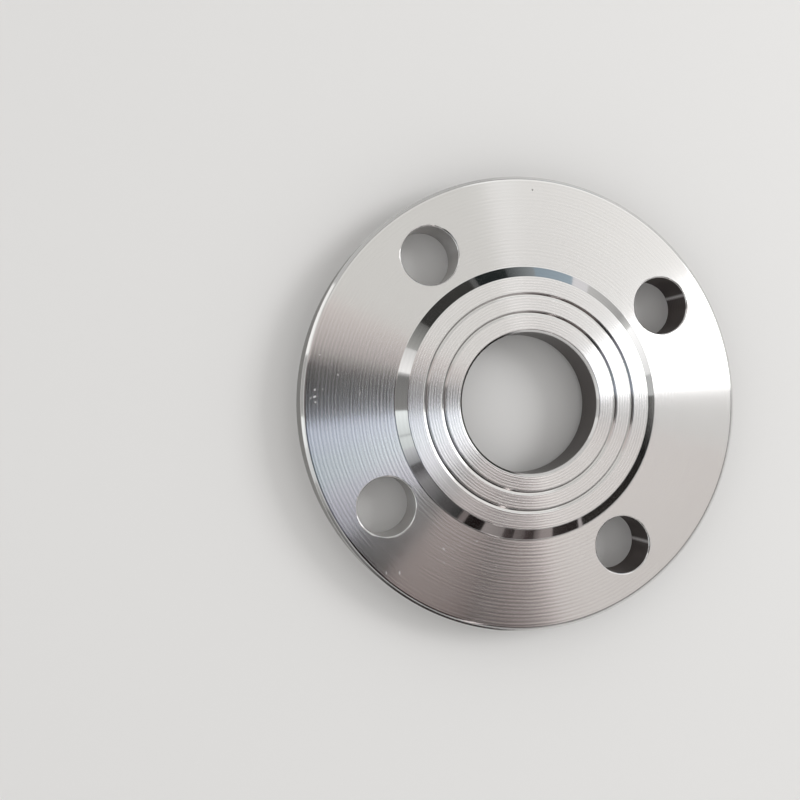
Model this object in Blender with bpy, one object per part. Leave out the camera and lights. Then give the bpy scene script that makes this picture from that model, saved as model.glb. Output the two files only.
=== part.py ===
"""Slip-on plate flange for a 1 inch pipe, turned and drilled from one stainless steel blank.

The flange lies on its back face: the origin is the centre of that face, and +Z runs
along the bore towards the raised face.
"""

from math import cos, pi, radians, sin

import bmesh
import bpy

# Plate, in metres
PLATE_THICKNESS = 0.010
FRONT_RIM_CHAMFER = 0.0008
BACK_RIM_CHAMFER = 0.0006

# Raised face, with its bevelled shoulder
RAISED_FACE_HEIGHT = 0.002
RAISED_FACE_FOOT_DIAMETER = 0.066
SHOULDER_WIDTH = 0.0027

# V grooves that grip the gasket, by the diameter of their bottom line
INNER_GROOVE_DIAMETER = 0.0432
OUTER_GROOVE_DIAMETER = 0.0520
GROOVE_WIDTH = 0.0009
GROOVE_DEPTH = 0.00045

# Bore that slips over the pipe, bevelled at the back for the weld
PIPE_OUTER_DIAMETER = 0.0337
PIPE_CLEARANCE = 0.0003
BORE_FRONT_CHAMFER = 0.0006
WELD_BEVEL = 0.0024

# Bolt holes, deburred on both faces
BOLT_CIRCLE_DIAMETER = 0.085
BOLT_HOLE_DIAMETER = 0.014
BOLT_HOLE_COUNT = 4
FIRST_BOLT_HOLE_ANGLE = radians(45)
BOLT_HOLE_CHAMFER = 0.0003

# Steel left between a bolt hole and the rim, which sets the flange's outer diameter
RIM_WALL = 0.0055

# Facets, and how far a cutter runs past the face that it cuts
BODY_SEGMENTS = 120
HOLE_SEGMENTS = 40
CUT_OVERRUN = 0.0002

# Bright turned stainless steel
STEEL_COLOUR = (0.62, 0.61, 0.60, 1.0)
STEEL_ROUGHNESS = 0.28

SMOOTH_ANGLE = radians(30)
FLAT_NORMAL = 0.999
MERGE_DISTANCE = 1e-6

FLANGE_DIAMETER = BOLT_CIRCLE_DIAMETER + BOLT_HOLE_DIAMETER + 2 * RIM_WALL
BORE_DIAMETER = PIPE_OUTER_DIAMETER + PIPE_CLEARANCE
TOP = PLATE_THICKNESS + RAISED_FACE_HEIGHT


def clear_scene():
    """Remove the objects that the file holds."""
    for thing in list(bpy.data.objects):
        bpy.data.objects.remove(thing, do_unlink=True)


def stainless_steel():
    """Make the steel's material."""
    steel = bpy.data.materials.new("turned_stainless_steel")
    steel.use_nodes = True
    shader = steel.node_tree.nodes["Principled BSDF"]
    shader.inputs["Base Color"].default_value = STEEL_COLOUR
    shader.inputs["Metallic"].default_value = 1.0
    shader.inputs["Roughness"].default_value = STEEL_ROUGHNESS
    steel.diffuse_color = STEEL_COLOUR
    return steel


def groove_points(diameter):
    """Give a V groove in the raised face: its inner lip, bottom and outer lip."""
    radius = diameter / 2
    half_width = GROOVE_WIDTH / 2
    return [
        (radius - half_width, TOP),
        (radius, TOP - GROOVE_DEPTH),
        (radius + half_width, TOP),
    ]


def flange_section():
    """Outline the flange's half section, as (radius, height) from the bore round to it again."""
    rim = FLANGE_DIAMETER / 2
    bore = BORE_DIAMETER / 2
    foot = RAISED_FACE_FOOT_DIAMETER / 2
    section = [(bore + BORE_FRONT_CHAMFER, TOP)]
    section += groove_points(INNER_GROOVE_DIAMETER)
    section += groove_points(OUTER_GROOVE_DIAMETER)
    section += [
        (foot - SHOULDER_WIDTH, TOP),
        (foot, PLATE_THICKNESS),
        (rim - FRONT_RIM_CHAMFER, PLATE_THICKNESS),
        (rim, PLATE_THICKNESS - FRONT_RIM_CHAMFER),
        (rim, BACK_RIM_CHAMFER),
        (rim - BACK_RIM_CHAMFER, 0.0),
        (bore + WELD_BEVEL, 0.0),
        (bore, WELD_BEVEL),
        (bore, TOP - BORE_FRONT_CHAMFER),
    ]
    return section


def bolt_hole_section():
    """Outline a bolt hole's cutter from the axis round to it again, top to bottom.

    It flares at 45 degrees through each face for the deburred edges, and its top is
    tall enough to clear the raised face.
    """
    hole = BOLT_HOLE_DIAMETER / 2
    flare = BOLT_HOLE_CHAMFER + CUT_OVERRUN
    return [
        (0.0, TOP + CUT_OVERRUN),
        (hole + flare, TOP + CUT_OVERRUN),
        (hole + flare, PLATE_THICKNESS + CUT_OVERRUN),
        (hole, PLATE_THICKNESS - BOLT_HOLE_CHAMFER),
        (hole, BOLT_HOLE_CHAMFER),
        (hole + flare, -CUT_OVERRUN),
        (0.0, -CUT_OVERRUN),
    ]


def revolved(name, section, segments, closed):
    """Turn a section once round Z, closed to a loop for a ring or left open at the axis."""
    form = bmesh.new()
    points = [form.verts.new((radius, 0.0, height)) for radius, height in section]
    ends = points[1:] + points[:1] if closed else points[1:]
    edges = [form.edges.new(pair) for pair in zip(points, ends)]
    bmesh.ops.spin(
        form,
        geom=points + edges,
        axis=(0.0, 0.0, 1.0),
        cent=(0.0, 0.0, 0.0),
        angle=2 * pi,
        steps=segments,
        use_merge=True,
    )
    bmesh.ops.remove_doubles(form, verts=form.verts, dist=MERGE_DISTANCE)
    bmesh.ops.recalc_face_normals(form, faces=form.faces)
    mesh = bpy.data.meshes.new(name)
    form.to_mesh(mesh)
    form.free()
    shade_turned(mesh)
    solid = bpy.data.objects.new(name, mesh)
    bpy.context.scene.collection.objects.link(solid)
    return solid


def shade_turned(mesh):
    """Shade the round walls smooth between sharp edges, and keep each flat face flat."""
    mesh.shade_smooth()
    mesh.set_sharp_from_angle(angle=SMOOTH_ANGLE)
    for face in mesh.polygons:
        face.use_smooth = abs(face.normal.z) < FLAT_NORMAL


def drill_bolt_hole(body, index):
    """Cut one bolt hole of the evenly spaced pattern through the plate."""
    angle = FIRST_BOLT_HOLE_ANGLE + index * 2 * pi / BOLT_HOLE_COUNT
    radius = BOLT_CIRCLE_DIAMETER / 2
    name = f"bolt_hole_cutter_{index + 1}"
    cutter = revolved(name, bolt_hole_section(), HOLE_SEGMENTS, closed=False)
    cutter.location = (radius * cos(angle), radius * sin(angle), 0.0)
    cutter.display_type = "WIRE"
    cutter.hide_render = True
    cut = body.modifiers.new(name, "BOOLEAN")
    cut.operation = "DIFFERENCE"
    cut.solver = "EXACT"
    cut.object = cutter


def build_flange():
    """Turn the flange, give it its steel and drill its bolt holes."""
    flange = revolved("flange", flange_section(), BODY_SEGMENTS, closed=True)
    flange.data.materials.append(stainless_steel())
    for index in range(BOLT_HOLE_COUNT):
        drill_bolt_hole(flange, index)
    return flange


clear_scene()
build_flange()
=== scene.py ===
from math import atan, atan2, cos, pi, radians, sin

import bmesh
import bpy
import numpy as np
from mathutils import Matrix, Vector


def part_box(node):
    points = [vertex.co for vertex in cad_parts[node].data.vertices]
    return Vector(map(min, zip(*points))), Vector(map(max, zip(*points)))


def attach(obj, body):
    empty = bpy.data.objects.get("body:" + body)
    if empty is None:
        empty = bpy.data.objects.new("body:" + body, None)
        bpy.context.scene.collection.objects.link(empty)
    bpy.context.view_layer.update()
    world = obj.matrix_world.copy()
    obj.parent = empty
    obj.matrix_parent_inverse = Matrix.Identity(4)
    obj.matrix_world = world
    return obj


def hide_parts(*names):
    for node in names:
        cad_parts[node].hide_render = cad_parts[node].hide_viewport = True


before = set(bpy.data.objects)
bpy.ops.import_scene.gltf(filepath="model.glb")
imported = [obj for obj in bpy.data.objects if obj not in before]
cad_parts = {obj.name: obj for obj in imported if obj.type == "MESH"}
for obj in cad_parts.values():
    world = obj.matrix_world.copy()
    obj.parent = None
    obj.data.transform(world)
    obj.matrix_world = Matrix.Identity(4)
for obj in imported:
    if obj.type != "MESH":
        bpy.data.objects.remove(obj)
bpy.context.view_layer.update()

# Slip-on plate flange: a turned steel ring with a raised gasket face, lying on a pale floor.
# Lengths are in metres. The flange's axis is Z, and its back face lies at height 0.

lowCorner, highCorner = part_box("flange")
rimRadius = (highCorner.x - lowCorner.x) / 2
topHeight = highCorner.z

flangeSizes = {
    "raisedFaceHeight": 0.002,
    "footRadius": 0.033,             # where the shoulder meets the bolting face
    "shoulderWidth": 0.0027,
    "grooveRadii": (0.0216, 0.0260),  # bottom lines of the two gasket grooves
    "grooveWidth": 0.0009,
    "grooveDepth": 0.00045,
    "boreRadius": 0.017,
    "boreChamfer": 0.0006,
    "weldBevel": 0.0024,
    "rimChamferFront": 0.0008,
    "rimChamferBack": 0.0006,
    "boltCircleRadius": 0.0425,
    "boltHoleRadius": 0.007,
    "boltHoleChamfer": 0.0003,
    "boltHoleCount": 4,
    "firstBoltHole": radians(45),
}

edgeRounding = {
    "sharp": 0.00006,     # bottoms of the grooves, edges of the bolt holes' walls
    "turned": 0.00010,    # outer edges of the rim, the bore's lip
    "worn": 0.00014,      # lips of the grooves, the shoulder's top
    "soft": 0.00018,      # the shoulder's foot
    "rolled": 0.00040,    # where the bolting face goes over into the rim's bevel
    "hold": 0.00002,      # from the end of a rounding to the row of points that keeps the flat flat
    "steps": 3,
}

meshDetail = {
    "turnSteps": 240,     # facets round the axis, 60 for each bolt hole's quarter
    "sideSteps": 30,      # steps along a quarter's straight sides
    "faceRings": 7,       # rings from a bolt hole out to its quarter's edge
    "ringCrowding": 1.5,  # above 1 the rings crowd towards the hole
    "holeStart": 240,     # bearing of a hole's first point, seen from the hole's own centre
    "flatNormal": 0.9999,  # a face whose normal stands this upright is shaded flat
    "mergeDistance": 1e-6,
}

# The lips of the bolt holes were deburred by hand. Each wave has its count round the hole and its
# share of the raggedness.
deburring = {
    "raggedness": 0.00006, "waves": ((2, 0.5), (3, 0.7), (5, 0.6), (9, 0.45), (14, 0.3), (23, 0.25)),
    "seed": 40, "seedStep": 7,
}

faceHeight = topHeight - flangeSizes["raisedFaceHeight"]
finishes = [
    "turnedFace", "gasketFace", "shoulderBevel", "rimBevel", "brightBevel", "grooveOuter",
    "grooveInner", "rimTurning", "boreWall", "drilledWall",
]


# A section is a list of corners (radius, height, rounding, finish of the stretch that follows).
# Each corner with a rounding becomes a short arc, worked out as the quadratic blend
# (1-t)^2 A + 2t(1-t) C + t^2 B between the points A and B that lie one rounding off the corner C.
# One more point on each side of the arc keeps the shading of the flats true.
def roundedSection(corners):
    places = np.array([corner[:2] for corner in corners], float)
    points, marks = [], []
    blend = np.linspace(0.0, 1.0, edgeRounding["steps"] + 1)[:, None]
    mark = finishes.index(corners[0][3])
    for index, (radius, height, rounding, finish) in enumerate(corners):
        here = places[index]
        lastMark, mark = mark, finishes.index(finish)
        if rounding == 0.0:
            points.append(here[None])
            marks.append([mark])
            continue
        before = places[index - 1] - here
        after = places[index + 1] - here
        before /= np.linalg.norm(before)
        after /= np.linalg.norm(after)
        start, end = here + before * rounding, here + after * rounding
        arc = (1 - blend) ** 2 * start + 2 * blend * (1 - blend) * here + blend ** 2 * end
        held = edgeRounding["hold"]
        points.append(np.concatenate([(start + before * held)[None], arc, (end + after * held)[None]]))
        marks.append([lastMark] + [finishes.index("brightBevel")] * edgeRounding["steps"] + [mark, mark])
    return np.concatenate(points), np.concatenate(marks)[:-1]


# How far a rounding reaches along the flat beside it.
def reach(kind):
    return edgeRounding[kind] + edgeRounding["hold"]


# A surface is a grid of points (rows, columns, 3) with the finish of each row of faces.
# wrap joins the last row to the first.
def gridFaces(grid, marks, wrap):
    rows, columns = grid.shape[:2]
    index = np.arange(rows * columns).reshape(rows, columns)
    nextRow = np.roll(index, -1, axis=0) if wrap else index[1:]
    thisRow = index if wrap else index[:-1]
    quads = np.stack([thisRow[:, :-1], thisRow[:, 1:], nextRow[:, 1:], nextRow[:, :-1]], -1)
    faceMarks = np.broadcast_to(np.asarray(marks), quads.shape[:2])
    return grid.reshape(-1, 3), quads.reshape(-1, 4), faceMarks.reshape(-1)


# Point (i, j) is the section's point j turned to the angle 2 pi i / steps:
# (r cos a, r sin a, z).
def turnedSurface(section, marks, steps):
    angle = np.arange(steps)[:, None] * 2 * pi / steps
    radius, height = section[:, 0][None], section[:, 1][None]
    grid = np.stack([radius * np.cos(angle), radius * np.sin(angle), height + 0 * angle], -1)
    return gridFaces(grid, marks, True)


def holeCentre(number):
    angle = flangeSizes["firstBoltHole"] + number * 2 * pi / flangeSizes["boltHoleCount"]
    radius = flangeSizes["boltCircleRadius"]
    return angle, radius


# The radius of a hole's lip at each angle a: R + raggedness x sum of share x sin(count x a + phase).
# side is 0 for the front face and 1 for the back.
def raggedLip(around, number, side):
    counts, shares = np.array(deburring["waves"]).T
    random = np.random.default_rng(deburring["seed"] + deburring["seedStep"] * number + side)
    phases = random.uniform(0, 2 * pi, len(counts))
    swing = (shares * np.sin(around[:, None] * counts + phases)).sum(1)
    plain = flangeSizes["boltHoleRadius"] + flangeSizes["boltHoleChamfer"]
    return plain + deburring["raggedness"] * swing


# Angles round a hole, one for each point of its quarter's outline, clockwise from the corner
# nearest to the axis, so that lines from the hole to the outline never cross.
def anglesRoundHole():
    count = 2 * (meshDetail["turnSteps"] // flangeSizes["boltHoleCount"] + meshDetail["sideSteps"])
    return radians(meshDetail["holeStart"]) - np.arange(count) * 2 * pi / count


# A quarter of a flat face with its hole: point (i, t) is (1 - t) L + t E in polar space
# (radius, angle), from point L of the hole's lip, number i, to point E of the quarter's outline.
def drilledQuarter(number, innerRadius, outerRadius, height, side):
    middle, circle = holeCentre(number)
    around = anglesRoundHole()
    lip = raggedLip(around, number, side)
    x = circle + lip * np.cos(around)
    y = lip * np.sin(around)
    lipRadius, lipAngle = np.hypot(x, y), np.arctan2(y, x)
    arcSteps = meshDetail["turnSteps"] // flangeSizes["boltHoleCount"]
    half = pi / flangeSizes["boltHoleCount"]
    along = np.arange(arcSteps) / arcSteps
    out = np.arange(meshDetail["sideSteps"]) / meshDetail["sideSteps"]
    span = outerRadius - innerRadius
    edgeRadius = np.concatenate([
        np.full(arcSteps, innerRadius), innerRadius + span * out,
        np.full(arcSteps, outerRadius), outerRadius - span * out,
    ])
    edgeAngle = np.concatenate([
        half * (2 * along - 1), np.full(len(out), half),
        half * (1 - 2 * along), np.full(len(out), -half),
    ])
    t = np.linspace(0.0, 1.0, meshDetail["faceRings"] + 1)[None] ** meshDetail["ringCrowding"]
    radius = lipRadius[:, None] * (1 - t) + edgeRadius[:, None] * t
    angle = lipAngle[:, None] * (1 - t) + edgeAngle[:, None] * t + middle
    grid = np.stack([radius * np.cos(angle), radius * np.sin(angle), np.full_like(radius, height)], -1)
    return gridFaces(grid, finishes.index("turnedFace"), True)


# The wall of a bolt hole: its section (r, z) carried round the hole's own axis, which stands at
# radius R on the bearing m. Before it is turned by m, a point is (R + r cos a, r sin a, z).
# Only the two lips are ragged.
def holeWall(number):
    middle, circle = holeCentre(number)
    around = anglesRoundHole()
    radius = flangeSizes["boltHoleRadius"]
    chamfer = flangeSizes["boltHoleChamfer"]
    section, marks = roundedSection([
        (radius + chamfer, faceHeight, 0.0, "brightBevel"),
        (radius, faceHeight - chamfer, edgeRounding["sharp"], "drilledWall"),
        (radius, chamfer, edgeRounding["sharp"], "brightBevel"),
        (radius + chamfer, 0.0, 0.0, "brightBevel"),
    ])
    ring = np.broadcast_to(section[:, 0], (len(around), len(section))).copy()
    ring[:, 0] = raggedLip(around, number, 0)
    ring[:, -1] = raggedLip(around, number, 1)
    x = circle + ring * np.cos(around)[:, None]
    y = ring * np.sin(around)[:, None]
    grid = np.stack([
        x * cos(middle) - y * sin(middle),
        x * sin(middle) + y * cos(middle),
        np.broadcast_to(section[:, 1], ring.shape),
    ], -1)
    return gridFaces(grid, marks, True)


def rimSection():
    front = flangeSizes["rimChamferFront"]
    back = flangeSizes["rimChamferBack"]
    turned = edgeRounding["turned"]
    return [
        (rimRadius - front - reach("rolled"), faceHeight, 0.0, "turnedFace"),
        (rimRadius - front, faceHeight, edgeRounding["rolled"], "rimBevel"),
        (rimRadius, faceHeight - front, turned, "rimTurning"),
        (rimRadius, back, turned, "brightBevel"),
        (rimRadius - back, 0.0, turned, "turnedFace"),
        (rimRadius - back - reach("turned"), 0.0, 0.0, "turnedFace"),
    ]


def grooveSection(radius):
    half = flangeSizes["grooveWidth"] / 2
    worn, sharp = edgeRounding["worn"], edgeRounding["sharp"]
    return [
        (radius + half, topHeight, worn, "grooveOuter"),
        (radius, topHeight - flangeSizes["grooveDepth"], sharp, "grooveInner"),
        (radius - half, topHeight, worn, "gasketFace"),
    ]


# From the bolting face up the shoulder, over the raised face and its grooves, and down the bore.
def boreSection():
    foot = flangeSizes["footRadius"]
    bore = flangeSizes["boreRadius"]
    soft, turned, worn = edgeRounding["soft"], edgeRounding["turned"], edgeRounding["worn"]
    innerGroove, outerGroove = flangeSizes["grooveRadii"]
    return [
        (foot + reach("soft"), faceHeight, 0.0, "turnedFace"),
        (foot, faceHeight, soft, "shoulderBevel"),
        (foot - flangeSizes["shoulderWidth"], topHeight, worn, "gasketFace"),
        *grooveSection(outerGroove),
        *grooveSection(innerGroove),
        (bore + flangeSizes["boreChamfer"], topHeight, turned, "brightBevel"),
        (bore, topHeight - flangeSizes["boreChamfer"], turned, "boreWall"),
        (bore, flangeSizes["weldBevel"], turned, "boreWall"),
        (bore + flangeSizes["weldBevel"], 0.0, turned, "turnedFace"),
        (bore + flangeSizes["weldBevel"] + reach("turned"), 0.0, 0.0, "turnedFace"),
    ]


def placed(name, data):
    made = bpy.data.objects.new(name, data)
    bpy.context.scene.collection.objects.link(made)
    return made


# One closed mesh of all the surfaces: points that meet are merged, and every face points outwards.
def joinSurfaces(name, surfaces):
    points = np.concatenate([surface[0] for surface in surfaces])
    offsets = np.cumsum([0] + [len(surface[0]) for surface in surfaces[:-1]])
    quads = np.concatenate([surface[1] + offset for surface, offset in zip(surfaces, offsets)])
    marks = np.concatenate([surface[2] for surface in surfaces]).astype(np.int32)
    mesh = bpy.data.meshes.new(name)
    mesh.from_pydata(points, [], quads.tolist())
    mesh.polygons.foreach_set("material_index", marks)
    closed = bmesh.new()
    closed.from_mesh(mesh)
    bmesh.ops.remove_doubles(closed, verts=closed.verts, dist=meshDetail["mergeDistance"])
    bmesh.ops.recalc_face_normals(closed, faces=closed.faces)
    openEdges = sum(1 for edge in closed.edges if not edge.is_manifold)
    closed.to_mesh(mesh)
    closed.free()
    normals = np.empty(len(mesh.polygons) * 3, np.float32)
    mesh.polygons.foreach_get("normal", normals)
    upright = np.abs(normals.reshape(-1, 3)[:, 2])
    mesh.polygons.foreach_set("use_smooth", upright < meshDetail["flatNormal"])
    print("built", name, "with", len(mesh.polygons), "faces and", openEdges, "open edges")
    return placed(name, mesh)


def buildFlange():
    foot = flangeSizes["footRadius"] + reach("soft")
    bore = flangeSizes["boreRadius"] + flangeSizes["weldBevel"] + reach("turned")
    frontRim = rimRadius - flangeSizes["rimChamferFront"] - reach("rolled")
    backRim = rimRadius - flangeSizes["rimChamferBack"] - reach("turned")
    surfaces = [
        turnedSurface(*roundedSection(rimSection()), meshDetail["turnSteps"]),
        turnedSurface(*roundedSection(boreSection()), meshDetail["turnSteps"]),
    ]
    for number in range(flangeSizes["boltHoleCount"]):
        surfaces.append(drilledQuarter(number, foot, frontRim, faceHeight, 0))
        surfaces.append(drilledQuarter(number, bore, backRim, 0.0, 1))
        surfaces.append(holeWall(number))
    return joinSurfaces("turned_flange", surfaces)


# A socket that can be used in sums: an expression on it adds its Math nodes.
class Wire:
    def __init__(self, tree, socket=None):
        self.tree = tree
        self.socket = socket

    # Adds any node: its settings first, then the values or links of its sockets. A ramp's stops are
    # pairs of place and colour, the first at 0 and the last at 1.
    def node(self, kind, settings=None, values=None, output=0):
        made = self.tree.nodes.new(kind)
        for key, value in (settings or {}).items():
            if key == "stops":
                stops = made.color_ramp.elements
                stops[0].color, stops[-1].color = value[0][1], value[-1][1]
                for place, colour in value[1:-1]:
                    stops.new(place).color = colour
            else:
                setattr(made, key, value)
        for key, value in (values or {}).items():
            if isinstance(value, Wire):
                self.tree.links.new(value.socket, made.inputs[key])
            else:
                made.inputs[key].default_value = value
        return Wire(self.tree, made.outputs[output] if len(made.outputs) else None)

    def math(self, operation, *values):
        return self.node("ShaderNodeMath", {"operation": operation}, dict(enumerate(values)))

    def __add__(self, other):
        return self.math("ADD", self, other)

    def __radd__(self, other):
        return self.math("ADD", other, self)

    def __sub__(self, other):
        return self.math("SUBTRACT", self, other)

    def __rsub__(self, other):
        return self.math("SUBTRACT", other, self)

    def __mul__(self, other):
        return self.math("MULTIPLY", self, other)

    def __rmul__(self, other):
        return self.math("MULTIPLY", other, self)

    def __truediv__(self, other):
        return self.math("DIVIDE", self, other)

    def __rtruediv__(self, other):
        return self.math("DIVIDE", other, self)


# The three coordinates of a place, as values.
def coordinates(start, place):
    split = start.node("ShaderNodeSeparateXYZ", values={0: place})
    return [Wire(start.tree, socket) for socket in split.socket.node.outputs]


# Rings follow one another along the radius, or along the height of a wall. ringSlope is how steep
# they are, ringShade how much painted shade darkens their valleys, and plainness how much of them
# shows at each bearing, stronger where the light shows the rings. lean tilts a bevel's sheen
# towards the axis, so that it mirrors the set and not the floor or the groove's other wall. The
# drilled walls are painted paler along -X, painted light on the holes on that side, and carry a
# painted highlight, a bright streak down the walls of the two other holes. A marked finish carries
# the nicks of faceMarks, their glints painted as pale dull spots. The walls' colours, far darker
# than the faces' steel, are painted shade.
finishLooks = {
    "turnedFace": {
        "colour": (0.820, 0.810, 0.800), "roughness": 0.158, "anisotropy": 1.0,
        "ringSlope": 0.085, "ringShade": 0.30, "along": "radius", "marked": True,
        # plainness: stronger rings, in slope and in painted shade, at the bearings where the light shows
        # them
        "plainness": {
            0: 0.10, 60: 0.12, 80: 0.15, 100: 0.08, 160: 0.08, 175: 0.35, 186: 0.8, 194: 1.0, 202: 0.9,
            210: 1.0, 218: 0.8, 228: 0.5, 238: 0.35, 256: 0.35, 262: 0.7, 270: 1.0, 281: 1.2,
            289: 0.7, 297: 0.25, 320: 0.10, 360: 0.10,
        },
    },
    "gasketFace": {
        "colour": (0.860, 0.850, 0.843), "roughness": 0.190, "anisotropy": 1.0,
        "ringSlope": 0.09, "ringShade": 0.22, "along": "radius", "feedPitch": 0.00064,
        # plainness: stronger rings, in slope and in painted shade, at the bearings where the light shows
        # them
        "plainness": {
            0: 0.8, 60: 0.5, 160: 0.5, 180: 0.9, 196: 0.8, 215: 0.7, 240: 1.0, 260: 1.3, 281: 1.4,
            300: 0.7, 330: 0.5, 360: 0.8,
        },
    },
    "shoulderBevel": {
        "colour": (0.72, 0.715, 0.71), "roughness": 0.07, "anisotropy": 0.3,
        "ringSlope": 0.005, "ringShade": 0.04, "along": "radius", "lean": 0.11,
    },
    "rimBevel": {
        "colour": (0.74, 0.735, 0.73), "roughness": 0.09, "anisotropy": 0.3,
        "ringSlope": 0.006, "ringShade": 0.05, "along": "radius", "lean": 0.14,
    },
    "brightBevel": {
        "colour": (0.74, 0.735, 0.73), "roughness": 0.09, "anisotropy": 0.3,
        "ringSlope": 0.006, "ringShade": 0.05, "along": "radius",
    },
    "grooveOuter": {
        "colour": (0.70, 0.69, 0.68), "roughness": 0.13, "anisotropy": 0.8,
        "ringSlope": 0.01, "ringShade": 0.05, "along": "radius", "lean": -0.72,
    },
    "grooveInner": {
        "colour": (0.70, 0.69, 0.68), "roughness": 0.13, "anisotropy": 0.8,
        "ringSlope": 0.01, "ringShade": 0.05, "along": "radius", "lean": 0.72,
    },
    # The walls below are coloured far darker than the faces' steel: painted shade.
    "rimTurning": {
        "colour": (0.26, 0.25, 0.24), "roughness": 0.22, "anisotropy": 0.8,
        "ringSlope": 0.06, "ringShade": 0.25, "along": "height",
    },
    "boreWall": {
        "colour": (0.15, 0.135, 0.13), "roughness": 0.22, "anisotropy": 0.8,
        "ringSlope": 0.06, "ringShade": 0.25, "along": "height",
    },
    "drilledWall": {
        "colour": (0.17, 0.15, 0.145), "roughness": 0.36, "anisotropy": 1.0,
        "ringSlope": 0.06, "ringShade": 0.25, "along": "height",
        # Painted light: the walls of the holes on the -X side are painted paler.
        "paintedLightSide": {"colour": (0.66, 0.65, 0.64), "from": 0.005, "to": -0.025},
        # Painted highlight: a bright streak down the walls of the two holes on the +X side.
        "paintedHighlightLine": {"colour": (0.98, 0.95, 0.95), "bearing": 24, "sway": 10, "halfWidth": 5},
    },
}

# Rings left by the turning tool: a feed mark whose depth varies from ring to ring, a finer mark
# over it, and scratches of uneven width. Shares are parts of the height or of the strength, and
# shades are parts of the way from a ring's crest to its valley, by which painted shade darkens the colour.
rings = {
    "feedPitch": 0.00088, "feedShare": 0.20, "feedShade": 0.29,
    "finePitchShare": 0.7, "fineShare": 0.08, "fineShade": 0.10,
    "scratchPitch": 0.0005, "scratchShare": 0.25,
    "depthPitch": 0.0024, "depthShare": 0.45,
    "patchSize": 0.014, "patchShare": 0.6,         # patches of stronger and weaker rings
    "wanderSize": 0.005, "wander": 0.0003,         # how far the rings stray from true circles
    "broadPitch": 0.0042, "broadRoughness": 0.02,  # broad bands of rougher and smoother steel
    "meanShade": 0.5, "darkest": 0.1, "leastSlope": 0.5, "plainest": 1.5,
}
noiseMean = 0.5     # a Noise Texture's middle value
sheenTurn = 0.25    # a quarter turn, so that the sheen spreads across the rings

# Nicks and scuffs on the bolting face, the pale ones with their glints painted in as pale, dull spots:
# bearing and distance from the axis, half length and half width, the angle of the long side from the
# radius, and how plainly they show.
faceMarks = {
    "rimNickA": (186.8, 0.0518, 0.00040, 0.00024, 80, 0.9),
    "rimNickB": (188.6, 0.0518, 0.00048, 0.00034, 30, 1.0),
    "rimNickC": (190.0, 0.0516, 0.00036, 0.00026, 120, 0.9),
    "rimNickD": (188.9, 0.0526, 0.00050, 0.00020, 60, 0.5),
    "rimNickE": (186.6, 0.0500, 0.00036, 0.00022, 100, 0.5),
    "nickA": (182.2, 0.0468, 0.00026, 0.00022, 0, 0.9),
    "nickB": (177.8, 0.0518, 0.00030, 0.00024, 0, 0.6),
    "scratchA": (187.2, 0.0412, 0.00070, 0.00016, 75, 0.5),
    "scratchB": (192.0, 0.0471, 0.00024, 0.00018, 0, 0.5),
    "scuffA": (241.4, 0.0509, 0.00075, 0.00022, 35, 0.7),
    "scuffB": (238.7, 0.0529, 0.00060, 0.00022, 45, 0.6),
    "scuffC": (248.6, 0.0405, 0.00080, 0.00020, 70, 0.45),
    "scuffD": (251.0, 0.0433, 0.00060, 0.00018, 60, 0.4),
    "scuffE": (258.6, 0.0354, 0.00034, 0.00024, 0, 0.5),
    "speck": (98.7, 0.0517, 0.00030, 0.00026, 0, -0.8),
}
markLook = {
    "pale": (0.80, 0.785, 0.78), "dark": (0.10, 0.09, 0.09), "dull": 0.75,
    "raggedness": 0.0003, "raggedSize": 0.0004,
}


# Noise along the distance from the axis, or up a wall.
def noiseAlong(start, run, pitch, detail):
    return start.node("ShaderNodeTexNoise", {"noise_dimensions": "1D"}, {
        "W": run / pitch, "Scale": 1.0, "Detail": detail,
    })


def noiseAt(start, place, size, detail, output="Fac"):
    values = {"Vector": place, "Scale": 1 / size, "Detail": detail}
    return start.node("ShaderNodeTexNoise", values=values, output=output)


# Ring height over the distance d from the axis (or up a wall), in metres, so that its slope is
# near ringSlope: (p / 2 pi) sin(2 pi d / p) for each pitch p, and q noise(d / q) for the scratches.
# The second result is the rings' painted shade, 0 to 1 over each ring, from its crest to its valley.
# Both grow with the plainness of the rings at a point's bearing, set stronger where the light shows them.
def ringHeight(start, place, run, look, plainnessWhereLit):
    wandering = run + (noiseAt(start, place, rings["wanderSize"], 1.0) - noiseMean) * rings["wander"]
    depth = (noiseAlong(start, run, rings["depthPitch"], 1.0) - noiseMean) * rings["depthShare"] + 1
    strength = (noiseAt(start, place, rings["patchSize"], 2.0) - noiseMean) * rings["patchShare"] + 1
    feedPitch = look.get("feedPitch", rings["feedPitch"])
    finePitch = feedPitch * rings["finePitchShare"]
    feed = start.math("SINE", wandering * (2 * pi / feedPitch)) * depth
    fine = start.math("SINE", wandering * (2 * pi / finePitch))
    scratch = noiseAlong(start, run, rings["scratchPitch"], 1.0)
    height = feed * (feedPitch / (2 * pi) * rings["feedShare"])
    height = height + fine * (finePitch / (2 * pi) * rings["fineShare"])
    height = height + scratch * (rings["scratchPitch"] * rings["scratchShare"])
    fall = feed * -rings["feedShade"] + fine * -rings["fineShade"]
    paintedValleyShade = fall * strength * plainnessWhereLit + rings["meanShade"]
    slope = start.math("MAXIMUM", plainnessWhereLit, rings["leastSlope"]) * look["ringSlope"]
    return height * strength * slope, paintedValleyShade


# How plainly the rings show at each bearing, stronger where the light shows them, and so how much painted
# shade their valleys get: the values of plainness, joined by straight lines.
def ringPlainnessWhereLit(start, plainness, x, y):
    bearing = start.math("FRACT", start.math("ARCTAN2", y, x) / (2 * pi))
    levels = {place / 360: value / rings["plainest"] for place, value in plainness.items()}
    stops = [(place, (level, level, level, 1.0)) for place, level in levels.items()]
    return start.node("ShaderNodeValToRGB", {"stops": stops}, {0: bearing}) * rings["plainest"]
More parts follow.
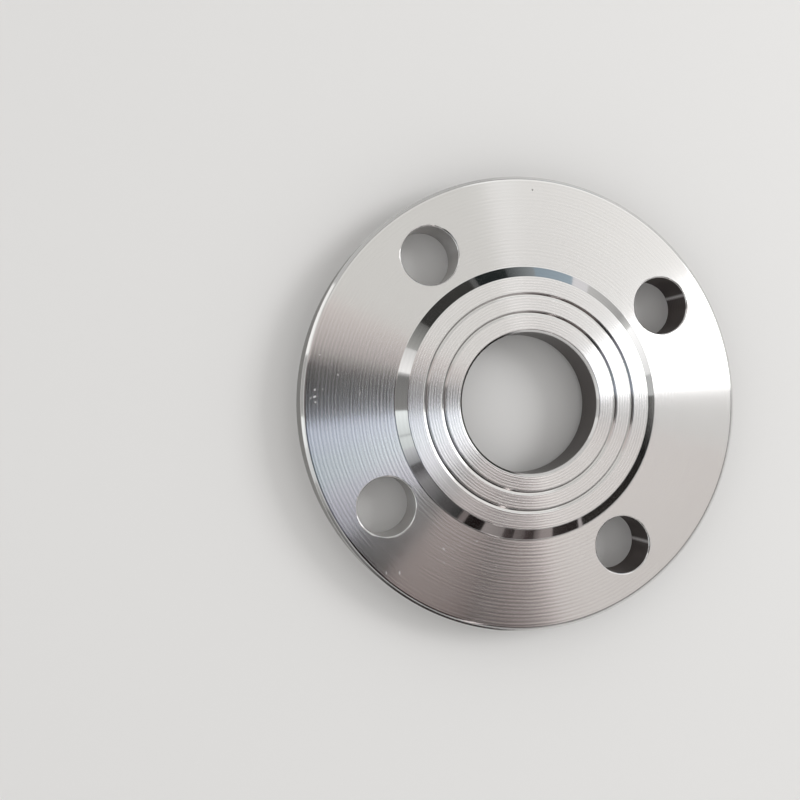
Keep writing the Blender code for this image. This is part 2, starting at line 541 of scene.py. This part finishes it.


# How plainly the pale marks, nicks with their glints painted in, and the dark marks show at a point,
# as two values. Each mark is 1 - (u/a)^2 - (v/b)^2 above 0, with u and v measured along and across it.
def markCover(start, place):
    ragged = noiseAt(start, place, markLook["raggedSize"], 1.0, "Color")
    moved = start.node("ShaderNodeVectorMath", {"operation": "MULTIPLY_ADD"}, {
        0: ragged, 1: (markLook["raggedness"],) * 3, 2: place,
    })
    x, y, z = coordinates(start, moved)
    shift = markLook["raggedness"] * noiseMean
    covers = {"pale": 0.0, "dark": 0.0}
    for bearing, radius, length, width, turn, plainness in faceMarks.values():
        angle = radians(bearing + turn)
        eastward = x - radius * cos(radians(bearing)) - shift
        northward = y - radius * sin(radians(bearing)) - shift
        u = eastward * (cos(angle) / length) + northward * (sin(angle) / length)
        v = eastward * (-sin(angle) / width) + northward * (cos(angle) / width)
        shape = start.math("MAXIMUM", 1 - u * u - v * v, 0.0) * abs(plainness)
        kind = "pale" if plainness > 0 else "dark"
        covers[kind] = shape + covers[kind]
    front = start.math("GREATER_THAN", z, faceHeight / 2)
    return covers["pale"] * front, covers["dark"] * front


# A painted highlight down the walls of the two holes on the +X side: 1 on the line and 0 beyond its
# half width, by the bearing b of a point from its own hole's centre: 1 - |b - bearing - sway s| /
# halfWidth, with s the side of the hole, -1 or 1.
def paintedHighlightLine(start, line, x, y):
    angle, circle = holeCentre(0)
    middle = circle * cos(angle)
    side = start.math("SIGN", y)
    bearing = start.math("ARCTAN2", y - side * middle, x - middle)
    off = start.math("ABSOLUTE", bearing - side * radians(line["sway"]) - radians(line["bearing"]))
    cover = start.math("MAXIMUM", 1 - off / radians(line["halfWidth"]), 0.0)
    return cover * start.math("GREATER_THAN", x, 0.0)


# A Mix node's colours are its sockets 6 and 7, and its mixed colour is output 2.
def blended(start, share, first, second):
    return start.node("ShaderNodeMix", {"data_type": "RGBA"}, {0: share, 6: first, 7: second}, output=2)


def emptyMaterial(name):
    material = bpy.data.materials.new(name)
    material.use_nodes = True
    material.node_tree.nodes.clear()
    return material, Wire(material.node_tree)


def steelFinish(name):
    look = finishLooks[name]
    material, start = emptyMaterial("steel_" + name)
    place = start.node("ShaderNodeTexCoord", output="Object")
    x, y, z = coordinates(start, place)
    radius = start.math("SQRT", x * x + y * y)
    run = radius if look["along"] == "radius" else z
    plainnessWhereLit = ringPlainnessWhereLit(start, look["plainness"], x, y) if "plainness" in look else 1.0
    height, paintedValleyShade = ringHeight(start, place, run, look, plainnessWhereLit)
    height = height + run * look.get("lean", 0.0)
    normal = start.node("ShaderNodeBump", values={"Height": height, "Distance": 1.0, "Strength": 1.0})
    broad = noiseAlong(start, run, rings["broadPitch"], 2.0)
    roughness = look["roughness"] + (broad - noiseMean) * rings["broadRoughness"]
    colour = look["colour"]
    # Painted light: the drilled walls are painted paler towards -X.
    if "paintedLightSide" in look:
        paintedLightSide = look["paintedLightSide"]
        share = start.node("ShaderNodeMapRange", {"interpolation_type": "SMOOTHSTEP"}, {
            "Value": x, "From Min": paintedLightSide["from"], "From Max": paintedLightSide["to"],
        })
        colour = blended(start, share, (*colour, 1.0), (*paintedLightSide["colour"], 1.0))
    # Painted highlight: a bright streak down the walls of the two +X holes.
    if "paintedHighlightLine" in look:
        line = look["paintedHighlightLine"]
        colour = blended(start, paintedHighlightLine(start, line, x, y), colour, (*line["colour"], 1.0))
    # Painted shade: the colour is darker in the rings' valleys.
    shade = start.math("MAXIMUM", 1 - paintedValleyShade * look["ringShade"], rings["darkest"])
    colour = start.node("ShaderNodeVectorMath", {"operation": "SCALE"}, {0: colour, "Scale": shade})
    metallic = 1.0
    # Nicks and scuffs: their glints painted as pale, dull spots; the speck is dark.
    if look.get("marked"):
        pale, dark = markCover(start, place)
        colour = blended(start, pale, colour, (*markLook["pale"], 1.0))
        colour = blended(start, dark, colour, (*markLook["dark"], 1.0))
        metallic = 1 - pale * markLook["dull"]
    shader = start.node("ShaderNodeBsdfPrincipled", values={
        "Base Color": colour, "Metallic": metallic, "Roughness": roughness,
        "Anisotropic": look["anisotropy"], "Anisotropic Rotation": sheenTurn, "Normal": normal,
    })
    start.node("ShaderNodeOutputMaterial", values={"Surface": shader})
    return material


def plainMaterial(name, colour, roughness):
    material = bpy.data.materials.new(name)
    material.use_nodes = True
    shader = material.node_tree.nodes["Principled BSDF"]
    shader.inputs["Base Color"].default_value = (*colour, 1.0)
    shader.inputs["Roughness"].default_value = roughness
    return material


def glowMaterial(name, tint):
    material, start = emptyMaterial(name)
    level = start.node("ShaderNodeAttribute", {"attribute_name": "glow"}, output="Fac")
    glow = start.node("ShaderNodeEmission", values={"Color": (*tint, 1.0), "Strength": level})
    start.node("ShaderNodeOutputMaterial", values={"Surface": glow})
    return material


floorLook = {"halfWidth": 8.0, "colour": (0.78, 0.78, 0.775), "roughness": 0.7}


def addFloor():
    half = floorLook["halfWidth"]
    mesh = bpy.data.meshes.new("floor")
    corners = [(-half, -half, 0), (half, -half, 0), (half, half, 0), (-half, half, 0)]
    mesh.from_pydata(corners, [], [(0, 1, 2, 3)])
    mesh.materials.append(plainMaterial("pale_floor", floorLook["colour"], floorLook["roughness"]))
    floor = placed("floor", mesh)


# Cards stand round the set as a photographer's softboxes, reflectors and flags do, and only the
# steel sees them. A card's glow runs evenly from its first bearing to its last.
# A face turned in rings shows each of its bearings one sector of the panels overhead. All the
# sectors meet in one spot, where the camera's view is mirrored, so the panels fan out from there,
# and near multiplies a panel's glow close to the spot. Lips and groove walls mirror the far part
# of a panel, beyond farFrom to farTo, where its own far glow takes over.
fan = {
    "height": 1.5, "spot": (0.531, 0.127), "far": 1.95, "nearReach": 0.35, "farFrom": 0.7,
    "farTo": 1.0, "steps": 14,
}
fanPanels = {
    "keySoftbox": {
        "bearing": (14, 44.5), "glow": (3.2, 3.2), "far": 3.2, "tint": (1.00, 1.00, 1.00),
    },
    "topSoftbox": {
        "bearing": (44.5, 105), "glow": (1.31, 1.03), "far": 1.15, "tint": (1.00, 0.99, 0.97),
    },
    "topSeam": {
        "bearing": (105, 113), "glow": (1.16, 1.16), "near": 1.05, "far": 1.20, "tint": (1.00, 1.00, 0.99),
    },
    "farSoftbox": {
        "bearing": (113, 165), "glow": (0.89, 0.87), "near": 0.93, "far": 0.84, "tint": (1.00, 0.99, 0.96),
    },
    "farSoftboxEdge": {
        "bearing": (165, 180), "glow": (0.93, 0.50), "near": 0.78, "far": 0.66, "tint": (1.00, 0.91, 0.88),
    },
    "cameraShade": {
        "bearing": (180, 196.2), "glow": (0.00, 0.00), "far": 0.18, "tint": (1.00, 0.90, 0.90),
    },
    "blueReflector": {
        "bearing": (196.2, 204), "glow": (0.70, 0.46), "near": 2.7, "far": 0.17, "tint": (0.74, 0.82, 1.00),
    },
    "cyanReflector": {
        "bearing": (204, 213), "glow": (0.44, 0.43), "near": 3.0, "far": 0.17, "tint": (0.78, 0.91, 1.00),
    },
    "lavenderReflector": {
        "bearing": (213, 226), "glow": (0.47, 0.26), "near": 2.4, "far": 0.17, "tint": (0.84, 0.85, 1.00),
    },
    "brownFlag": {
        "bearing": (226, 239), "glow": (0.00, 0.00), "far": 0.015, "tint": (1.00, 0.74, 0.70),
    },
    "brownStrip": {
        "bearing": (239, 257), "glow": (0.24, 0.18), "near": 2.0, "far": 0.015, "tint": (1.00, 0.80, 0.76),
    },
    "brownStripEdge": {
        "bearing": (257, 262.5), "glow": (0.13, 0.08), "near": 2.8, "far": 0.015,
        "tint": (1.00, 0.74, 0.70),
    },
    "brownGap": {
        "bearing": (262.5, 266), "glow": (0.00, 0.00), "far": 0.015, "tint": (1.00, 0.74, 0.70),
    },
    "brownFlagPlain": {
        "bearing": (266, 268.2), "glow": (0.035, 0.035), "near": 14.0, "far": 0.015,
        "tint": (1.00, 0.74, 0.70),
    },
    "brownGlint": {
        "bearing": (268.2, 270.2), "glow": (0.04, 0.04), "near": 14.0, "far": 2.50,
        "tint": (1.00, 0.90, 0.88),
    },
    "brownFlagRise": {
        "bearing": (270.2, 277), "glow": (0.04, 0.06), "near": 14.0, "far": 0.015,
        "tint": (1.00, 0.80, 0.76),
    },
    "brownFlagEdge": {
        "bearing": (277, 287), "glow": (0.09, 0.31), "near": 5.5, "far": 0.12, "tint": (1.00, 0.88, 0.86),
    },
    "sideReflectorStart": {
        "bearing": (287, 300), "glow": (0.74, 0.80), "near": 1.35, "far": 0.14, "tint": (1.00, 0.95, 0.92),
    },
    "sideReflector": {
        "bearing": (300, 357), "glow": (0.80, 0.90), "near": 1.15, "far": 0.14, "tint": (1.00, 0.95, 0.92),
    },
    "keyEdge": {
        "bearing": (357, 374), "glow": (0.97, 1.04), "near": 0.85, "far": 0.20, "tint": (1.00, 0.99, 0.97),
    },
}

# The bevelled shoulder and the rim's bevel each mirror one line round the set. A wall card covers
# the part of its bevel's line that shows at the card's bearings, and the degrees below and above
# it, which a card may have of its own.
walls = {"radius": 2.0, "lowest": 0.4, "below": 4.5, "above": 6.0, "steps": 8}
mirrorBevels = {
    "shoulder": {
        "finish": "shoulderBevel", "height": faceHeight + flangeSizes["raisedFaceHeight"] / 2,
        "radius": flangeSizes["footRadius"] - flangeSizes["shoulderWidth"] / 2,
        "slope": atan2(flangeSizes["raisedFaceHeight"], flangeSizes["shoulderWidth"]),
    },
    "rim": {
        "finish": "rimBevel", "height": faceHeight - flangeSizes["rimChamferFront"] / 2,
        "radius": rimRadius - flangeSizes["rimChamferFront"] / 2, "slope": radians(45),
    },
}
shoulderCards = {
    "keyScreen": {"bearing": (13.5, 23), "glow": (0.60, 0.60), "tint": (0.98, 1.00, 1.00)},
    "keyScreenCore": {"bearing": (23, 46), "glow": (1.10, 1.45), "tint": (1.00, 1.00, 1.00)},
    "keyScreenEdge": {"bearing": (46, 52), "glow": (0.85, 0.52), "tint": (1.00, 1.00, 0.98)},
    "paleCurtain": {"bearing": (52, 72), "glow": (0.48, 0.66), "tint": (1.00, 0.99, 0.97)},
    "curtainSeam": {"bearing": (72, 80), "glow": (0.88, 0.88), "tint": (1.00, 0.98, 1.00)},
    "blueCurtain": {"bearing": (80, 98), "glow": (0.56, 0.46), "tint": (0.72, 0.88, 1.00)},
    "curtainEdge": {"bearing": (98, 111), "glow": (0.36, 0.09), "tint": (0.90, 0.97, 1.00)},
    "farFlag": {"bearing": (111, 125), "glow": (0.025, 0.020), "tint": (0.80, 1.00, 1.00)},
    "farFlagGlint": {"bearing": (125, 127.5), "glow": (0.13, 0.13), "tint": (1.00, 1.00, 1.00)},
    "farFlagPlain": {"bearing": (127.5, 155), "glow": (0.045, 0.045), "tint": (1.00, 0.98, 0.92)},
    "farFlagEdge": {"bearing": (155, 167), "glow": (0.17, 0.47), "tint": (1.00, 1.00, 0.96)},
    "leftStrip": {"bearing": (167, 177.6), "glow": (0.85, 1.22), "tint": (1.00, 0.99, 0.98)},
    "leftStripEdge": {"bearing": (177.6, 179), "glow": (0.60, 0.34), "tint": (1.00, 0.99, 0.98)},
    "cameraStand": {"bearing": (179, 193.5), "glow": (0.23, 0.30), "tint": (1.00, 0.99, 0.97)},
    "leftWindow": {"bearing": (193.5, 203.6), "glow": (1.20, 0.90), "tint": (0.95, 1.00, 1.00)},
    "windowSeam": {"bearing": (203.6, 204.5), "glow": (0.62, 0.62), "tint": (0.95, 1.00, 1.00)},
    "windowFoot": {"bearing": (204.5, 209.5), "glow": (0.95, 0.84), "tint": (0.95, 1.00, 1.00)},
    "leftWindowEdge": {"bearing": (209.5, 216.8), "glow": (0.76, 0.34), "tint": (0.95, 0.97, 1.00)},
    "leftFlag": {"bearing": (216.8, 220.4), "glow": (0.14, 0.13), "tint": (0.98, 0.96, 1.00)},
    "leftGleam": {"bearing": (220.4, 225), "glow": (0.17, 0.31), "tint": (0.98, 0.96, 1.00)},
    "leftGleamFade": {"bearing": (225, 236), "glow": (0.30, 0.11), "tint": (1.00, 0.98, 1.00)},
    "leftFlagEnd": {"bearing": (236, 246.6), "glow": (0.11, 0.04), "tint": (1.00, 0.96, 0.97)},
    "nearGlint": {"bearing": (246.6, 249.6), "glow": (0.19, 0.24), "tint": (1.00, 0.86, 0.84)},
    "nearFlag": {"bearing": (249.6, 258), "glow": (0.01, 0.01), "tint": (1.00, 0.70, 0.66)},
    "nearStrip": {"bearing": (258, 267.5), "glow": (0.36, 0.26), "tint": (1.00, 0.90, 0.88)},
    "nearShade": {"bearing": (267.5, 272.2), "glow": (0.085, 0.035), "tint": (1.00, 0.80, 0.78)},
    "nearBlur": {"bearing": (272.2, 277), "glow": (0.20, 0.13), "tint": (1.00, 0.86, 0.84)},
    "nearShadeEnd": {"bearing": (277, 281.3), "glow": (0.08, 0.045), "tint": (1.00, 0.80, 0.78)},
    "tableStrip": {"bearing": (281.3, 284.3), "glow": (0.13, 0.28), "tint": (1.00, 0.88, 0.86)},
    "tableStripCore": {"bearing": (284.3, 290), "glow": (0.34, 0.38), "tint": (1.00, 0.88, 0.86)},
    "rightFlag": {"bearing": (290, 302.6), "glow": (0.045, 0.02), "tint": (1.00, 0.80, 0.78)},
    "rightGlint": {"bearing": (302.6, 304.4), "glow": (0.50, 0.50), "tint": (1.00, 0.92, 0.92)},
    "rightScreen": {
        "bearing": (304.4, 345), "glow": (0.025, 0.015), "tint": (1.00, 0.86, 0.78),
        "below": 3.0, "above": 4.5,
    },
    "rightScreenEnd": {"bearing": (345, 373.5), "glow": (0.00, 0.02), "tint": (1.00, 0.86, 0.78)},
}
rimCards = {
    "rimCurtain": {"bearing": (70, 160), "glow": (0.50, 0.60), "tint": (1.00, 1.00, 0.98)},
    "rimWindow": {"bearing": (160, 178.6), "glow": (1.15, 1.28), "tint": (1.00, 1.00, 0.98)},
    "rimStand": {"bearing": (178.6, 193.4), "glow": (0.48, 0.46), "tint": (1.00, 0.99, 0.97)},
    "rimWindowLow": {"bearing": (193.4, 201), "glow": (1.20, 1.10), "tint": (0.98, 1.00, 1.00)},
    "rimWindowFoot": {"bearing": (201, 209.5), "glow": (0.90, 0.76), "tint": (0.98, 1.00, 1.00)},
    "rimWindowEdge": {"bearing": (209.5, 217), "glow": (0.52, 0.32), "tint": (1.00, 1.00, 0.98)},
    "rimWindowFade": {"bearing": (217, 234), "glow": (0.22, 0.18), "tint": (1.00, 0.98, 0.97)},
    "rimFlagEdge": {"bearing": (234, 242), "glow": (0.15, 0.05), "tint": (1.00, 0.97, 0.95)},
    "rimFlag": {"bearing": (242, 330), "glow": (0.045, 0.03), "tint": (1.00, 0.88, 0.84)},
}

world = {"colour": (1.0, 0.985, 0.97), "strength": 0.78}
keyLight = {"azimuth": 27, "elevation": 42, "distance": 0.9, "size": 0.34, "power": 2.2}


def direction(azimuth, elevation):
    return Vector((
        cos(radians(azimuth)) * cos(radians(elevation)),
        sin(radians(azimuth)) * cos(radians(elevation)),
        sin(radians(elevation)),
    ))


# The turn of a lamp or a camera that stands off in the direction away and looks back, rolled by
# an angle round its own line of sight.
def facing(away, roll):
    side = Vector((-away.y, away.x, 0)).normalized()
    up = away.cross(side)
    tiltedUp = up * cos(roll) + side * sin(roll)
    tiltedSide = tiltedUp.cross(away)
    return Matrix((tiltedSide, tiltedUp, away)).transposed().to_4x4()


# Point (s, t) is spot + far t^2 (cos b, sin b) at the fan's height, where b runs with s from the
# panel's first bearing to its last. The second array is the glow at each point.
def panelGrid(panel):
    share = np.linspace(0, 1, fan["steps"] + 1)
    first, last = np.radians(panel["bearing"])
    bearing = (first + (last - first) * share)[:, None]
    reached = (fan["far"] * share ** 2)[None]
    x = fan["spot"][0] + reached * np.cos(bearing)
    y = fan["spot"][1] + reached * np.sin(bearing)
    glow = np.linspace(*panel["glow"], len(share))[:, None]
    glow = glow * (1 + (panel.get("near", 1.0) - 1) * np.exp(-(reached / fan["nearReach"]) ** 2))
    beyond = np.clip((reached - fan["farFrom"]) / (fan["farTo"] - fan["farFrom"]), 0, 1)
    glow = glow * (1 - beyond) + panel["far"] * beyond
    return np.stack([x, y, np.full_like(x, fan["height"])], -1), glow


# The direction d that a bevel mirrors to the camera at each bearing b: d = 2 (n.v) n - v,
# with v towards the camera and n = (sin k cos b, sin k sin b, cos k) for a slope of angle k.
def bevelMirror(bevel, bearing):
    slope = bevel["slope"]
    slope -= atan(finishLooks[bevel["finish"]]["lean"] * cos(slope))
    east, north = np.cos(bearing), np.sin(bearing)
    level = np.ones_like(bearing)
    normal = np.stack([sin(slope) * east, sin(slope) * north, cos(slope) * level], -1)
    place = np.stack([bevel["radius"] * east, bevel["radius"] * north, bevel["height"] * level], -1)
    view = np.array(cameraPlace()) - place
    view /= np.linalg.norm(view, axis=-1, keepdims=True)
    return 2 * (normal * view).sum(-1, keepdims=True) * normal - view


# Point (s, t) is radius (cos a cos e, sin a cos e, sin e), where a and e are the azimuth and the
# elevation mirrored at the card's bearing s, with t running through the spread of e.
def wallGrid(bevel, card):
    share = np.linspace(0, 1, walls["steps"] + 1)
    mirrored = bevelMirror(bevel, np.radians(np.linspace(*card["bearing"], len(share))))
    azimuth = np.arctan2(mirrored[:, 1], mirrored[:, 0])[:, None]
    middle = np.degrees(np.arcsin(mirrored[:, 2]))[:, None]
    spread = card.get("above", walls["above"]) * share - card.get("below", walls["below"]) * (1 - share)
    elevation = np.radians(np.maximum(middle + spread, walls["lowest"]))
    level = np.cos(elevation)
    grid = [np.cos(azimuth) * level, np.sin(azimuth) * level, np.sin(elevation)]
    glow = np.linspace(*card["glow"], len(share))[:, None] + 0 * elevation
    return walls["radius"] * np.stack(grid, -1), glow


def addCard(name, grid, level, tint):
    points, quads, marks = gridFaces(grid, 0, False)
    mesh = bpy.data.meshes.new(name)
    mesh.from_pydata(points, [], quads.tolist())
    glow = mesh.attributes.new("glow", "FLOAT", "POINT")
    glow.data.foreach_set("value", level.astype(np.float32).ravel())
    mesh.materials.append(glowMaterial(name, tint))
    made = placed(name, mesh)
    made.visible_camera = False
    made.visible_diffuse = False
    made.visible_shadow = False


def addLights():
    scene = bpy.context.scene
    scene.world = bpy.data.worlds.new("studio")
    scene.world.use_nodes = True
    scene.world.cycles.sampling_method = "NONE"
    background = scene.world.node_tree.nodes["Background"]
    background.inputs["Color"].default_value = (*world["colour"], 1.0)
    background.inputs["Strength"].default_value = world["strength"]
    lamp = bpy.data.lights.new("key", "AREA")
    lamp.size = keyLight["size"]
    lamp.energy = keyLight["power"]
    key = placed("key", lamp)
    away = direction(keyLight["azimuth"], keyLight["elevation"])
    key.matrix_world = Matrix.Translation(away * keyLight["distance"]) @ facing(away, 0.0)
    key.visible_camera = False
    key.visible_glossy = False


# The photograph's view, found from the outlines of the rim, the bore and the bolt holes.
cameraSetup = {
    "lens": 44.12, "azimuth": -165.09, "elevation": 77.80, "distance": 0.2300,
    "aim": (-0.03129, -0.00493, 0.010), "roll": -85.21, "clipStart": 0.01,
}


def cameraPlace():
    away = direction(cameraSetup["azimuth"], cameraSetup["elevation"])
    return Vector(cameraSetup["aim"]) + away * cameraSetup["distance"]


def addCamera():
    lens = bpy.data.cameras.new("camera")
    lens.lens = cameraSetup["lens"]
    lens.clip_start = cameraSetup["clipStart"]
    camera = placed("camera", lens)
    away = direction(cameraSetup["azimuth"], cameraSetup["elevation"])
    turn = facing(away, radians(cameraSetup["roll"]))
    camera.matrix_world = Matrix.Translation(cameraPlace()) @ turn
    bpy.context.scene.camera = camera


flange = buildFlange()
for finish in finishes:
    flange.data.materials.append(steelFinish(finish))
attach(flange, "root")
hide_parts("flange")
print("gave the steel its", len(finishes), "finishes")

addFloor()
for name, panel in fanPanels.items():
    addCard(name, *panelGrid(panel), panel["tint"])
for bevel, cards in (("shoulder", shoulderCards), ("rim", rimCards)):
    for name, card in cards.items():
        addCard(name, *wallGrid(mirrorBevels[bevel], card), card["tint"])
print("set the floor,", len(fanPanels), "panels and", len(shoulderCards) + len(rimCards), "wall cards")

addLights()
addCamera()
bpy.context.scene.view_settings.view_transform = "Standard"
print("set the light and the camera")
